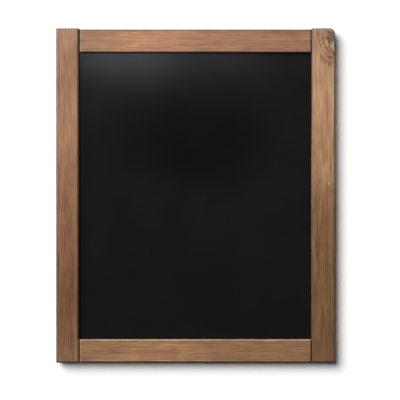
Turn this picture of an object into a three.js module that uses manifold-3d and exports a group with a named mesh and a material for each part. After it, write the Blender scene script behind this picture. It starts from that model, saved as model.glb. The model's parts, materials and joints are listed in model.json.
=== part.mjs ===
// Wall chalkboard: a black lacquered panel in a dowelled frame of stained pine, hung by two ring hangers.
// Millimetres. +X is to the right, +Y goes into the wall and +Z is up. The origin lies on the wall,
// midway between the two hanging rings, at the height where the wall hooks bear in them.

import * as THREE from "three";
import { mergeVertices } from "three/addons/utils/BufferGeometryUtils.js";
import Module from "manifold-3d";

// The board as a whole
const boardWidth = 500;
const boardHeight = 600;
const frameDepth = 20;
const hangDrop = 60; // from the top of the stiles down to the hooks

// Frame members
const stileWidth = 42;
const railWidth = 42;
const topRailStep = 2; // the top rail sits this much below the tops of the stiles
const arrisRadius = 2.5; // rounding of every long edge
const endCornerRadius = 2; // rounding of the stiles' corners, seen from the front
const innerTopCornerRadius = 3; // the left stile's top corner, next to the rail
const wornCornerRadius = 9; // the right stile's top corner, worn round at its knot
const jointHairline = 0.1; // glue line at each end of a rail

// Rebate behind the opening, and the panel in it
const lipThickness = 6; // wood left in front of the panel
const rebateWidth = 8;
const panelThickness = 4;
const panelClearance = 1; // all round, between the panel's edge and the rebate's wall
const panelHairline = 0.1; // between the panel and the lip, and between the panel and the points

// Dowels in the corner joints
const dowelDiameter = 8;
const dowelLength = 40;
const dowelMargin = 4; // wood left beside a dowel
const dowelHoleClearance = 0.15;
const dowelEndClearance = 1;
const dowelChamfer = 1;
const dowelFlutes = 12;
const dowelFluteDepth = 0.3;

// Flex points that hold the panel
const pointWidth = 5;
const pointLength = 15;
const pointTipLength = 4;
const pointThickness = 0.5;
const pointSlotClearance = 0.1;
const pointsPerStile = 4;
const pointsPerRail = 3;

// Ring hangers
const ringWireDiameter = 2.5;
const ringInnerWidth = 14;
const ringReach = 13; // from the hinge line to the middle of the wire at the ring's far end
const ringCornerRadius = 2;
const ringRestGap = 0.3; // between the wood and the ring that leans on it
const strapWidth = 12;
const strapThickness = 0.8;
const strapLayerGap = 0.1; // between the two layers of the folded strap
const strapNeckRadius = 1; // where the strap bends from its eye down to its flat
const strapEndMargin = 6; // from the lower screw to the strap's end
const eyeClearance = 0.25; // between the ring's wire and the eye
const wallClearance = 0.4; // between the strap and the wall
const bearingHairline = 0.05; // between hardware and what it is screwed or stuck to

// Screws
const screwShankDiameter = 3;
const screwLength = 12;
const screwTipLength = 3;
const screwHeadDiameter = 6;
const screwHeadHeight = 1.8;
const screwHeadRimHeight = 0.7;
const screwSpacing = 14;
const screwHoleClearance = 0.2; // in the strap
const pilotClearance = 0.15; // in the wood
const ringToScrewClearance = 1; // between the folded ring and the upper screw's head
const recessWidth = 0.8;
const recessSpan = 3.2;
const recessDepth = 1;

// Rubber bumpers
const bumperDiameter = 12;
const bumperTaper = 0.8; // how much smaller the radius is at the wall
const bumperEdgeRadius = 0.8;
const bumperHeightAboveBottom = 25;

// Fineness of the curved surfaces
const arrisSegments = 4;
const cornerSegments = 6;
const roundSegments = 24;
const screwSegments = 20;
const strapArcSegments = 10;
const wireSides = 10;
const ringSteps = 60;
const overcut = 1; // how far a cut runs past the face that it opens
const weldDistance = 1e-4; // corners nearer than this are one corner

// Places that follow from the sizes
const wireRadius = ringWireDiameter / 2;
const eyeInnerRadius = wireRadius + eyeClearance;
const eyeOuterRadius = eyeInnerRadius + strapThickness;
const strapFlatHeight = 2 * strapThickness + strapLayerGap;
const wallGap = bearingHairline + 2 * eyeOuterRadius + wallClearance;
const rearFaceY = -wallGap;
const frontFaceY = rearFaceY - frameDepth;
const frameMiddleY = (rearFaceY + frontFaceY) / 2;
const lipBackY = frontFaceY + lipThickness;
const panelFrontY = lipBackY + panelHairline;
const pointFrontY = panelFrontY + panelThickness + panelHairline;

const boardTopZ = hangDrop;
const boardBottomZ = boardTopZ - boardHeight;
const boardMiddleZ = (boardTopZ + boardBottomZ) / 2;
const openingWidth = boardWidth - 2 * stileWidth;
const openingTopZ = boardTopZ - topRailStep - railWidth;
const openingBottomZ = boardBottomZ + railWidth;
const openingHeight = openingTopZ - openingBottomZ;
const openingMiddleZ = (openingTopZ + openingBottomZ) / 2;
const stileX = (boardWidth - stileWidth) / 2;
const rearLandX = (boardWidth / 2 + openingWidth / 2 + rebateWidth) / 2;

const hingeOffWood = bearingHairline + eyeOuterRadius;
const ringLean = Math.asin((hingeOffWood - wireRadius - ringRestGap) / ringReach);
const hingeZ = -(ringReach - wireRadius) * Math.cos(ringLean);
const upperScrewDrop = ringReach + wireRadius + ringToScrewClearance + screwHeadDiameter / 2;
const lowerScrewDrop = upperScrewDrop + screwSpacing;
const strapLength = lowerScrewDrop + strapEndMargin;

const quarterTurn = Math.PI / 2;

const wasm = await Module();
wasm.setup();

function finish(color, roughness, metalness) {
  return new THREE.MeshStandardMaterial({ color, roughness, metalness });
}

const stainedPine = () => finish(0xa0765a, 0.6, 0);
const blackLacquer = () => finish(0x161616, 0.55, 0);
const beech = () => finish(0xc9a27a, 0.7, 0);
const nickelPlate = () => finish(0xb9b6ae, 0.35, 1);
const springSteel = () => finish(0x8d8f92, 0.4, 1);
const rubber = () => finish(0x3a3a3a, 0.9, 0);

function named(name, geometry, material) {
  const mesh = new THREE.Mesh(geometry, material);
  mesh.name = name;
  return mesh;
}

// A closed mesh's geometry as a solid, in the space that its own matrix places it in.
function solidOf(mesh) {
  mesh.updateWorldMatrix(true, false);
  const bare = mesh.geometry.clone().applyMatrix4(mesh.matrixWorld);
  bare.deleteAttribute("normal");
  bare.deleteAttribute("uv");
  const merged = mergeVertices(bare, weldDistance);
  return new wasm.Manifold(
    new wasm.Mesh({
      numProp: 3,
      vertProperties: merged.attributes.position.array,
      triVerts: new Uint32Array(merged.index.array),
    }),
  );
}

function geometryOf(solid) {
  const { vertProperties, triVerts } = solid.getMesh();
  const geometry = new THREE.BufferGeometry();
  geometry.setAttribute("position", new THREE.BufferAttribute(vertProperties, 3));
  geometry.setIndex(new THREE.BufferAttribute(triVerts, 1));
  geometry.computeVertexNormals();
  return geometry;
}

// Takes the tools, which are meshes placed in the same space, out of the piece.
function cut(piece, tools) {
  let solid = solidOf(piece);
  for (const tool of tools) {
    solid = solid.subtract(solidOf(tool));
  }
  piece.geometry = geometryOf(solid).applyMatrix4(piece.matrixWorld.clone().invert());
  return piece;
}

function common(geometryA, geometryB) {
  const solidA = solidOf(new THREE.Mesh(geometryA));
  const solidB = solidOf(new THREE.Mesh(geometryB));
  return geometryOf(solidA.intersect(solidB));
}

// A rectangle about the origin; each corner is sharp or has its own radius.
function rectangle(width, height, corners = {}) {
  const right = width / 2;
  const top = height / 2;
  const { topLeft = 0, topRight = 0, bottomRight = 0, bottomLeft = 0 } = corners;
  const outline = new THREE.Shape();
  outline.moveTo(-right + bottomLeft, -top);
  outline.lineTo(right - bottomRight, -top);
  if (bottomRight > 0) {
    outline.absarc(right - bottomRight, -top + bottomRight, bottomRight, -quarterTurn, 0);
  }
  outline.lineTo(right, top - topRight);
  if (topRight > 0) {
    outline.absarc(right - topRight, top - topRight, topRight, 0, quarterTurn);
  }
  outline.lineTo(-right + topLeft, top);
  if (topLeft > 0) {
    outline.absarc(-right + topLeft, top - topLeft, topLeft, quarterTurn, 2 * quarterTurn);
  }
  outline.lineTo(-right, -top + bottomLeft);
  if (bottomLeft > 0) {
    outline.absarc(-right + bottomLeft, -top + bottomLeft, bottomLeft, 2 * quarterTurn, 3 * quarterTurn);
  }
  return outline;
}

// A plate that stands upright: its outline is seen from the front, and it is centred in its thickness.
function uprightPlate(outline, thickness, edgeRadius = 0) {
  const geometry = new THREE.ExtrudeGeometry(outline, {
    depth: thickness - 2 * edgeRadius,
    curveSegments: cornerSegments,
    bevelEnabled: edgeRadius > 0,
    bevelThickness: edgeRadius,
    bevelSize: edgeRadius,
    bevelOffset: -edgeRadius,
    bevelSegments: arrisSegments,
  });
  geometry.translate(0, 0, edgeRadius - thickness / 2);
  return geometry.rotateX(quarterTurn);
}

// A sawn and planed member with rounded arrises. A corner wider than the arris takes the arris round
// with it, and a tighter one only eases the corner.
function memberGeometry(width, height, corners = {}) {
  const wideCorners = {};
  for (const [corner, radius] of Object.entries(corners)) {
    wideCorners[corner] = radius > arrisRadius ? radius : 0;
  }
  const planed = uprightPlate(rectangle(width, height, wideCorners), frameDepth, arrisRadius);
  if (Object.keys(corners).length === 0) {
    return planed;
  }
  return common(planed, uprightPlate(rectangle(width, height, corners), frameDepth + overcut));
}

function rod(diameter, length, sides) {
  return new THREE.CylinderGeometry(diameter / 2, diameter / 2, length, sides);
}

function placed(geometry, x, y, z) {
  const mesh = new THREE.Mesh(geometry);
  mesh.position.set(x, y, z);
  return mesh;
}

// The four corner joints, each with an outer and an inner dowel.
function dowelPlaces() {
  const innerOffset = rebateWidth + dowelMargin + dowelDiameter / 2;
  const outerOffset = railWidth - dowelMargin - dowelDiameter / 2;
  const places = [];
  for (const [level, edgeZ, away] of [["top", openingTopZ, 1], ["bottom", openingBottomZ, -1]]) {
    for (const [side, sign] of [["left", -1], ["right", 1]]) {
      for (const [rank, offset] of [["inner", innerOffset], ["outer", outerOffset]]) {
        places.push({
          name: `dowel_${level}_${side}_${rank}`,
          level,
          side,
          x: (sign * openingWidth) / 2,
          z: edgeZ + away * offset,
        });
      }
    }
  }
  return places;
}

// Evenly spread places along one edge of the opening. Turn is the angle at which a point's tip,
// which lies along +X when the turn is zero, goes into that edge.
function pointPlaces(member, count, turn) {
  const alongZ = member === "left" || member === "right";
  const run = alongZ ? openingHeight : openingWidth;
  const wall = (alongZ ? openingWidth : openingHeight) / 2 + rebateWidth;
  const sign = member === "left" || member === "bottom" ? -1 : 1;
  const places = [];
  for (let i = 0; i < count; i += 1) {
    const along = run * ((i + 0.5) / count - 0.5);
    places.push({
      name: `point_${member}_${i + 1}`,
      member,
      turn,
      x: alongZ ? sign * wall : along,
      z: openingMiddleZ + (alongZ ? along : sign * wall),
    });
  }
  return places;
}

function allPointPlaces() {
  return [
    ...pointPlaces("left", pointsPerStile, Math.PI),
    ...pointPlaces("right", pointsPerStile, 0),
    ...pointPlaces("top", pointsPerRail, -quarterTurn),
    ...pointPlaces("bottom", pointsPerRail, quarterTurn),
  ];
}

// Tools that cut the frame

function rebateTool() {
  const corner = rebateWidth;
  const outline = rectangle(openingWidth + 2 * rebateWidth, openingHeight + 2 * rebateWidth, {
    topLeft: corner,
    topRight: corner,
    bottomRight: corner,
    bottomLeft: corner,
  });
  const depth = rearFaceY - lipBackY + overcut;
  return placed(uprightPlate(outline, depth), 0, lipBackY + depth / 2, openingMiddleZ);
}

function dowelHoleTools(level, side) {
  const diameter = dowelDiameter + 2 * dowelHoleClearance;
  const length = dowelLength + 2 * dowelEndClearance;
  return dowelPlaces()
    .filter((place) => place.level === level && place.side === side)
    .map((place) => {
      const hole = placed(rod(diameter, length, roundSegments), place.x, frameMiddleY, place.z);
      hole.rotation.z = quarterTurn;
      return hole;
    });
}

// The slot takes the half of a point that is driven into the wood.
function pointSlotTools(member) {
  const reach = pointLength / 2 + pointSlotClearance;
  const geometry = new THREE.BoxGeometry(
    reach + overcut,
    pointThickness + 2 * pointSlotClearance,
    pointWidth + 2 * pointSlotClearance,
  );
  geometry.translate((reach - overcut) / 2, 0, 0);
  return allPointPlaces()
    .filter((place) => place.member === member)
    .map((place) => {
      const slot = placed(geometry, place.x, pointFrontY + pointThickness / 2, place.z);
      slot.rotation.y = place.turn;
      return slot;
    });
}

function pilotHoleTools(sign) {
  const depth = screwLength + pilotClearance;
  const geometry = rod(screwShankDiameter + 2 * pilotClearance, depth + overcut, screwSegments);
  return [upperScrewDrop, lowerScrewDrop].map((drop) =>
    placed(geometry, sign * rearLandX, rearFaceY + (overcut - depth) / 2, hingeZ - drop),
  );
}

// Frame members

function stile(side) {
  const sign = side === "left" ? -1 : 1;
  const corners =
    side === "left"
      ? { topLeft: endCornerRadius, topRight: innerTopCornerRadius }
      : { topLeft: endCornerRadius, topRight: wornCornerRadius };
  corners.bottomLeft = endCornerRadius;
  corners.bottomRight = endCornerRadius;
  const piece = named(`${side}_stile`, memberGeometry(stileWidth, boardHeight, corners), stainedPine());
  piece.position.set(sign * stileX, frameMiddleY, boardMiddleZ);
  return cut(piece, [
    rebateTool(),
    ...dowelHoleTools("top", side),
    ...dowelHoleTools("bottom", side),
    ...pointSlotTools(side),
    ...pilotHoleTools(sign),
  ]);
}

function rail(level) {
  const away = level === "top" ? 1 : -1;
  const edgeZ = level === "top" ? openingTopZ : openingBottomZ;
  const length = openingWidth - 2 * jointHairline;
  const piece = named(`${level}_rail`, memberGeometry(length, railWidth), stainedPine());
  piece.position.set(0, frameMiddleY, edgeZ + (away * railWidth) / 2);
  return cut(piece, [
    rebateTool(),
    ...dowelHoleTools(level, "left"),
    ...dowelHoleTools(level, "right"),
    ...pointSlotTools(level),
  ]);
}

// A fluted dowel with chamfered ends, along X.
function dowelGeometry() {
  const radius = dowelDiameter / 2;
  const half = dowelLength / 2;
  const profile = [
    new THREE.Vector2(0, -half),
    new THREE.Vector2(radius - dowelChamfer, -half),
    new THREE.Vector2(radius, -half + dowelChamfer),
    new THREE.Vector2(radius, half - dowelChamfer),
    new THREE.Vector2(radius - dowelChamfer, half),
    new THREE.Vector2(0, half),
  ];
  const turned = new THREE.LatheGeometry(profile, roundSegments).rotateZ(quarterTurn);
  const rim = [];
  for (let i = 0; i < 2 * dowelFlutes; i += 1) {
    const angle = (i * Math.PI) / dowelFlutes;
    const reach = i % 2 === 0 ? radius : radius - dowelFluteDepth;
    rim.push(new THREE.Vector2(reach * Math.cos(angle), reach * Math.sin(angle)));
  }
  const fluted = new THREE.ExtrudeGeometry(new THREE.Shape(rim), {
    depth: dowelLength + 2 * overcut,
    bevelEnabled: false,
  });
  fluted.translate(0, 0, -half - overcut).rotateY(quarterTurn);
  return common(turned, fluted);
}

function dowels() {
  const geometry = dowelGeometry();
  return dowelPlaces().map((place) => {
    const piece = named(place.name, geometry, beech());
    piece.position.set(place.x, frameMiddleY, place.z);
    return piece;
  });
}

// The black panel, with corners that follow the rebate's.
function writingPanel() {
  const grow = 2 * (rebateWidth - panelClearance);
  const corner = rebateWidth - panelClearance;
  const outline = rectangle(openingWidth + grow, openingHeight + grow, {
    topLeft: corner,
    topRight: corner,
    bottomRight: corner,
    bottomLeft: corner,
  });
  const piece = named("writing_panel", uprightPlate(outline, panelThickness), blackLacquer());
  piece.position.set(0, panelFrontY + panelThickness / 2, openingMiddleZ);
  return piece;
}

// A flat steel strip along X, pointed at the end that is driven in.
function pointGeometry() {
  const halfLength = pointLength / 2;
  const halfWidth = pointWidth / 2;
  const outline = new THREE.Shape([
    new THREE.Vector2(-halfLength, -halfWidth),
    new THREE.Vector2(halfLength - pointTipLength, -halfWidth),
    new THREE.Vector2(halfLength, 0),
    new THREE.Vector2(halfLength - pointTipLength, halfWidth),
    new THREE.Vector2(-halfLength, halfWidth),
  ]);
  return uprightPlate(outline, pointThickness);
}

function flexPoints() {
  const geometry = pointGeometry();
  return allPointPlaces().map((place) => {
    const piece = named(place.name, geometry, springSteel());
    piece.position.set(place.x, pointFrontY + pointThickness / 2, place.z);
    piece.rotation.y = place.turn;
    return piece;
  });
}

// The strap's side view: a strip folded back on itself round an eye. The first coordinate runs up the
// stile from the hinge line, and the second is the height off the wood.
function strapSideOutline() {
  const neckHeight = strapFlatHeight + strapNeckRadius;
  const neckReach = eyeOuterRadius + strapNeckRadius;
  const neckBelow = Math.sqrt(neckReach ** 2 - (neckHeight - eyeOuterRadius) ** 2);
  const eyeEnd = Math.atan2(neckHeight - eyeOuterRadius, -neckBelow);
  const neckStart = eyeEnd - Math.PI;
  const outline = new THREE.Shape();
  outline.moveTo(-strapLength, 0);
  outline.lineTo(0, 0);
  outline.absarc(0, eyeOuterRadius, eyeOuterRadius, -quarterTurn, eyeEnd, false);
  outline.absarc(-neckBelow, neckHeight, strapNeckRadius, neckStart, -quarterTurn, true);
  outline.lineTo(-strapLength, strapFlatHeight);
  outline.lineTo(-strapLength, strapFlatHeight - strapThickness);
  const innerNeck = strapNeckRadius + strapThickness;
  outline.absarc(-neckBelow, neckHeight, innerNeck, -quarterTurn, neckStart, false);
  outline.absarc(0, eyeOuterRadius, eyeInnerRadius, eyeEnd, -quarterTurn, true);
  outline.lineTo(-strapLength, strapThickness);
  return outline;
}

// The strap stands on the plane y = 0 with its hinge line along X at the height of the eye's middle.
function strapGeometry() {
  const folded = new THREE.ExtrudeGeometry(strapSideOutline(), {
    depth: strapWidth,
    curveSegments: strapArcSegments,
    bevelEnabled: false,
  });
  folded.translate(0, 0, -strapWidth / 2).rotateY(-quarterTurn);
  const planLength = strapLength + 2 * eyeOuterRadius;
  const plan = rectangle(strapWidth, planLength, {
    bottomLeft: strapWidth / 2,
    bottomRight: strapWidth / 2,
  });
  const blank = uprightPlate(plan, 2 * (2 * eyeOuterRadius + overcut));
  blank.translate(0, 0, planLength / 2 - strapLength);
  return common(folded, blank);
}

function strap(side) {
  const piece = named(`${side}_strap`, strapGeometry(), nickelPlate());
  const holeGeometry = rod(
    screwShankDiameter + 2 * screwHoleClearance,
    2 * (strapFlatHeight + overcut),
    screwSegments,
  );
  return cut(
    piece,
    [upperScrewDrop, lowerScrewDrop].map((drop) => placed(holeGeometry, 0, 0, -drop)),
  );
}

// A pan-head screw along Y. Its head bears on the plane y = 0 and its shank goes towards -Y.
function screwGeometry() {
  const shankRadius = screwShankDiameter / 2;
  const headRadius = screwHeadDiameter / 2;
  const crownRadius = headRadius - (screwHeadHeight - screwHeadRimHeight);
  const profile = new THREE.Path();
  profile.moveTo(0, -screwLength);
  profile.lineTo(shankRadius, -screwLength + screwTipLength);
  profile.lineTo(shankRadius, 0);
  profile.lineTo(headRadius, 0);
  profile.lineTo(headRadius, screwHeadRimHeight);
  profile.quadraticCurveTo(headRadius, screwHeadHeight, crownRadius, screwHeadHeight);
  profile.lineTo(0, screwHeadHeight);
  const turned = new THREE.LatheGeometry(profile.getPoints(arrisSegments), screwSegments);
  const slot = new THREE.BoxGeometry(recessSpan, recessDepth + overcut, recessWidth);
  const slotY = screwHeadHeight - recessDepth + (recessDepth + overcut) / 2;
  const crossSlot = placed(slot, 0, slotY, 0);
  crossSlot.rotation.y = quarterTurn;
  const piece = cut(new THREE.Mesh(turned), [placed(slot, 0, slotY, 0), crossSlot]);
  return piece.geometry;
}

function strapScrews(side) {
  const geometry = screwGeometry();
  return [["upper", upperScrewDrop], ["lower", lowerScrewDrop]].map(([rank, drop]) => {
    const piece = named(`screw_${side}_${rank}`, geometry, nickelPlate());
    piece.position.set(0, strapFlatHeight + bearingHairline, -drop);
    return piece;
  });
}

// The middle line of the ring's wire: a straight bar on the hinge line, two short legs and a half round.
class RingLine extends THREE.Curve {
  constructor() {
    super();
    const bow = ringInnerWidth / 2 + wireRadius;
    const corner = ringCornerRadius;
    this.line = new THREE.Path();
    this.line.moveTo(-bow + corner, 0);
    this.line.lineTo(bow - corner, 0);
    this.line.absarc(bow - corner, corner, corner, -quarterTurn, 0);
    this.line.lineTo(bow, ringReach - bow);
    this.line.absarc(0, ringReach - bow, bow, 0, Math.PI);
    this.line.lineTo(-bow, corner);
    this.line.absarc(-bow + corner, corner, corner, Math.PI, Math.PI + quarterTurn);
  }

  getPoint(t, target = new THREE.Vector3()) {
    const place = this.line.getPointAt(t);
    return target.set(place.x, 0, place.y);
  }
}

function ring(side) {
  const wire = new THREE.TubeGeometry(new RingLine(), ringSteps, wireRadius, wireSides, true);
  const piece = named(`${side}_ring`, wire, nickelPlate());
  piece.position.set(0, eyeOuterRadius, 0);
  piece.rotation.x = ringLean;
  return piece;
}

function hanger(side) {
  const group = new THREE.Group();
  const sign = side === "left" ? -1 : 1;
  group.position.set(sign * rearLandX, rearFaceY + bearingHairline, hingeZ);
  group.add(strap(side), ...strapScrews(side), ring(side));
  return group;
}

// A rubber bumper that stands on the plane y = 0 and tapers towards the wall.
function bumper(side) {
  const height = wallGap - bearingHairline;
  const baseRadius = bumperDiameter / 2;
  const faceRadius = baseRadius - bumperTaper;
  const profile = new THREE.Path();
  profile.moveTo(0, 0);
  profile.lineTo(baseRadius, 0);
  profile.lineTo(faceRadius, height - bumperEdgeRadius);
  profile.quadraticCurveTo(faceRadius, height, faceRadius - bumperEdgeRadius, height);
  profile.lineTo(0, height);
  const turned = new THREE.LatheGeometry(profile.getPoints(arrisSegments), roundSegments);
  const piece = named(`${side}_bumper`, turned, rubber());
  const sign = side === "left" ? -1 : 1;
  piece.position.set(sign * rearLandX, rearFaceY + bearingHairline, boardBottomZ + bumperHeightAboveBottom);
  return piece;
}

const chalkboard = new THREE.Group();
chalkboard.add(
  stile("left"),
  stile("right"),
  rail("top"),
  rail("bottom"),
  writingPanel(),
  ...dowels(),
  ...flexPoints(),
  hanger("left"),
  hanger("right"),
  bumper("left"),
  bumper("right"),
);

export default chalkboard;
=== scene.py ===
"""A wall chalkboard: a stained pine frame, a matt black writing panel and the hardware on its back."""

import json
import math

import bmesh
import bpy
from mathutils import Matrix, Vector, noise


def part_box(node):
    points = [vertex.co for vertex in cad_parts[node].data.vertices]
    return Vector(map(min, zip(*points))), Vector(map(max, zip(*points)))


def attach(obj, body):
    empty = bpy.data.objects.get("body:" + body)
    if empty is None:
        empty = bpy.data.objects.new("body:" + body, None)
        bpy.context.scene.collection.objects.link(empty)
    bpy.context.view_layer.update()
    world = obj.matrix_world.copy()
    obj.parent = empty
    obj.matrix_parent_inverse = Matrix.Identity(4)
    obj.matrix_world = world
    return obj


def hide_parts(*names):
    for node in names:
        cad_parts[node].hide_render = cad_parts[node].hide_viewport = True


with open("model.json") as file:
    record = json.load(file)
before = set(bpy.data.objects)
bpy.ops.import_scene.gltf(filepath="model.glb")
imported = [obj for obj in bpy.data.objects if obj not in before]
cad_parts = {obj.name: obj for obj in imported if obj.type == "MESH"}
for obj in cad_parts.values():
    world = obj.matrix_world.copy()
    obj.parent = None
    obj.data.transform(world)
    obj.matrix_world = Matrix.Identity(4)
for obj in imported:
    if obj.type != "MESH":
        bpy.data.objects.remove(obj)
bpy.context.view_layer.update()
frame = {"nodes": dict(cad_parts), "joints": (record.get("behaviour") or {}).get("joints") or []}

MM = 0.001

# Places that the frame gives
left_low, left_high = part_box("left_stile")
right_low, right_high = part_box("right_stile")
top_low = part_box("top_rail")[0]
bottom_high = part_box("bottom_rail")[1]
front_y = left_low.y
rear_y = left_high.y
board_low = left_low
board_high = right_high
opening_x = right_low.x

# The camera, level and square to the board, a little off its middle
CAMERA_DISTANCE = 2.8
CAMERA_X = 8.0 * MM
CAMERA_Z = -248 * MM
VIEW_WIDTH = 717 * MM  # what the picture takes in at the front of the board

# Light. A slope is the way that a lamp's light travels. The wall has a lamp of its own.
KEY_SLOPE = Vector((1.50, 1.0, -1.60))
KEY_LEVEL = 0.50
KEY_ANGLE = math.radians(30)
KEY_COLOUR = (1.0, 0.97, 0.93)
WALL_KEY_SLOPE = Vector((0.60, 1.0, -0.56))
WALL_KEY_LEVEL = 1.10
WALL_KEY_ANGLE = math.radians(43)
WHITE = (1.0, 1.0, 1.0)
FRONT_PLACE = Vector((0, -2, 1))
REAR_PLACE = Vector((0, 2, 1))
RIGHT_PLACE = Vector((2, 1, 0))
TO_WALL = Vector((0, 1, 0))
SHEEN_PLACE = Vector((-0.180, -1.0, 0.315))  # a small lamp that the panel mirrors at its top
SHEEN_SIZE = (0.21, 0.48)
SHEEN_POWER = 1.66
SHEEN_COLOUR = (0.88, 0.91, 1.0)
GLOW_PLACE = Vector((0.035, -1.0, 0.320))  # a weaker lamp, mirrored beside the first one
GLOW_SIZE = (0.22, 0.44)
GLOW_POWER = 0.74
VEIL_PLACE = Vector((0.300, -1.0, 0.320))  # the weakest, beside that
VEIL_SIZE = (0.31, 0.44)
VEIL_POWER = 0.22
SIDE_PLACE = Vector((-0.75, -0.95, 0.65))  # a softbox that lights the upper left most
SIDE_AIM = Vector((0, 0, -0.15))
SIDE_SIZE = (0.45, 0.45)
SIDE_POWER = 9.0
SIDE_COLOUR = (0.90, 0.94, 1.0)
REAR_SLOPE = Vector((0.30, -1.0, -0.45))
REAR_LEVEL = 0.62
REAR_ANGLE = math.radians(110)
FILL_SLOPE = Vector((-1.0, -0.35, -0.25))  # a soft light on the right side that leaves the front alone
FILL_LEVEL = 0.32
FILL_ANGLE = math.radians(50)
ROOM_CHANGE = (-0.15, 0.35)  # how far back the room in front of the board gives way to the one behind
ROOM_FRONT = 0.04
ROOM_REAR = 0.12
ROOM_REAR_MIRRORED = 0.36  # what metal shows of the room behind the board

# Wall and floor
FAR = 4.0
SHEET = ((-FAR, -FAR), (FAR, -FAR), (FAR, FAR), (-FAR, FAR))  # the corners of either
WALL_COLOUR = (0.92, 0.92, 0.92, 1.0)
WALL_SHADOW_REACH = 60 * MM
WALL_FADE_REACH = 220 * MM
FLOOR_Z = -1.9
FLOOR_COLOUR = (0.82, 0.81, 0.79, 1.0)

# Wear of the wood
WELD = 0.001 * MM
SLICE_STEP = 6 * MM
ARRIS = 2.5 * MM
ARRIS_WEAR = 0.45 * MM
CORNER_WEAR = 1.1 * MM
CORNER_REACH = 40 * MM
WEAR_LEVEL = 0.35
LONG_WAVE = 45 * MM
LONG_SWING = 0.5
SHORT_WAVE = 11 * MM
SHORT_SWING = 0.35
SMOOTH_ANGLE = math.radians(34)
FLAT_ANGLE = math.radians(1)

# Hardware
RING_WIRE = 2.5 * MM
RING_CORNER = 2 * MM
RING_REST_GAP = 0.3 * MM
RING_REACH = 13 * MM
BEND_STEPS = 8
BOW_STEPS = 40
WIRE_SIDES = 20
STRAP_EASE = 0.16 * MM
POINT_EASE = 0.06 * MM
PANEL_EASE = 0.3 * MM
EASE_SEGMENTS = 2
SCREW_SIDES = 48
RECESS_WIDTH = 0.8 * MM
RECESS_SPAN = 3.2 * MM
RECESS_DEPTH = 1.0 * MM
RECESS_TAPER = (0.55, 0.8)  # what is left of its span and its width at the bottom
SHANK_DIAMETER = 3 * MM
SHANK_TIP = 3 * MM
TIP_RADIUS = 0.25 * MM
TIP_HEIGHT = 0.3 * MM
HEAD_HEIGHT = 1.8 * MM
HEAD_RIM = 0.7 * MM
ROUND_STEPS = 8
BUMPER_SIDES = 64
BUMPER_TAPER = 0.8 * MM
BUMPER_EDGE = 0.8 * MM
BUMPER_FOOT = 0.25 * MM
FOOT_STEPS = 4
DISH_RADIUS = 1.6 * MM
DISH_SLOPE = 0.4 * MM
DISH_DEPTH = 0.5 * MM

# Soft noise: the size of its lumps along each axis in millimetres, a seed of its own and its detail.
# The wood's axes run across the member, into it and along it, and the member's seed is added.
NOISES = {
    "warp": ((55, 55, 240), 0.0, 2.0),
    "years": ((10, 1000, 1000), 1.0, 2.0),
    "fibre": ((0.5, 0.5, 38), 2.0, 3.0),
    "streak": ((2.3, 2.3, 90), 3.0, 3.0),
    "mottle": ((8, 8, 25), 4.0, 3.0),
    "dash": ((0.5, 0.5, 7), 5.0, 1.0),
    "ripple": ((18, 18, 45), 6.0, 2.0),
    "ring patches": ((5, 5, 60), 7.0, 2.0),
    "band": ((7, 7, 140), 8.0, 2.0),
    "coat": ((2.2, 2.2, 45), 9.0, 2.0),
    "knot lumps": ((3.4, 3.4, 1000), 0.0, 3.0),
    "mark lumps": ((1.8, 4, 1000), 0.0, 3.0),
    "panel grit": ((0.5, 0.5, 0.5), 1.0, 2.0),
    "panel clouds": ((70, 70, 110), 2.0, 4.0),
    "panel wipes": ((60, 60, 5), 3.0, 3.0),
    "hardboard fibre": ((1.5, 1.5, 1.5), 4.0, 5.0),
    "hardboard age": ((90, 90, 130), 14.0, 5.0),
    "hardboard damp": ((22, 22, 30), 15.0, 4.0),
    "nickel brushing": ((0.15, 0.15, 9), 5.0, 2.0),
    "nickel tarnish": ((3, 3, 3), 6.0, 4.0),
    "steel rolling": ((0.2, 0.2, 4), 7.0, 2.0),
    "steel oxide": ((2, 2, 2), 8.0, 4.0),
    "beech fibre": ((20, 0.5, 0.5), 9.0, 3.0),
    "beech fleck": ((3, 0.4, 0.7), 10.0, 1.0),
    "rubber skin": ((0.25, 0.25, 0.25), 12.0, 3.0),
    "rubber bloom": ((4, 4, 4), 13.0, 3.0),
}


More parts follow.
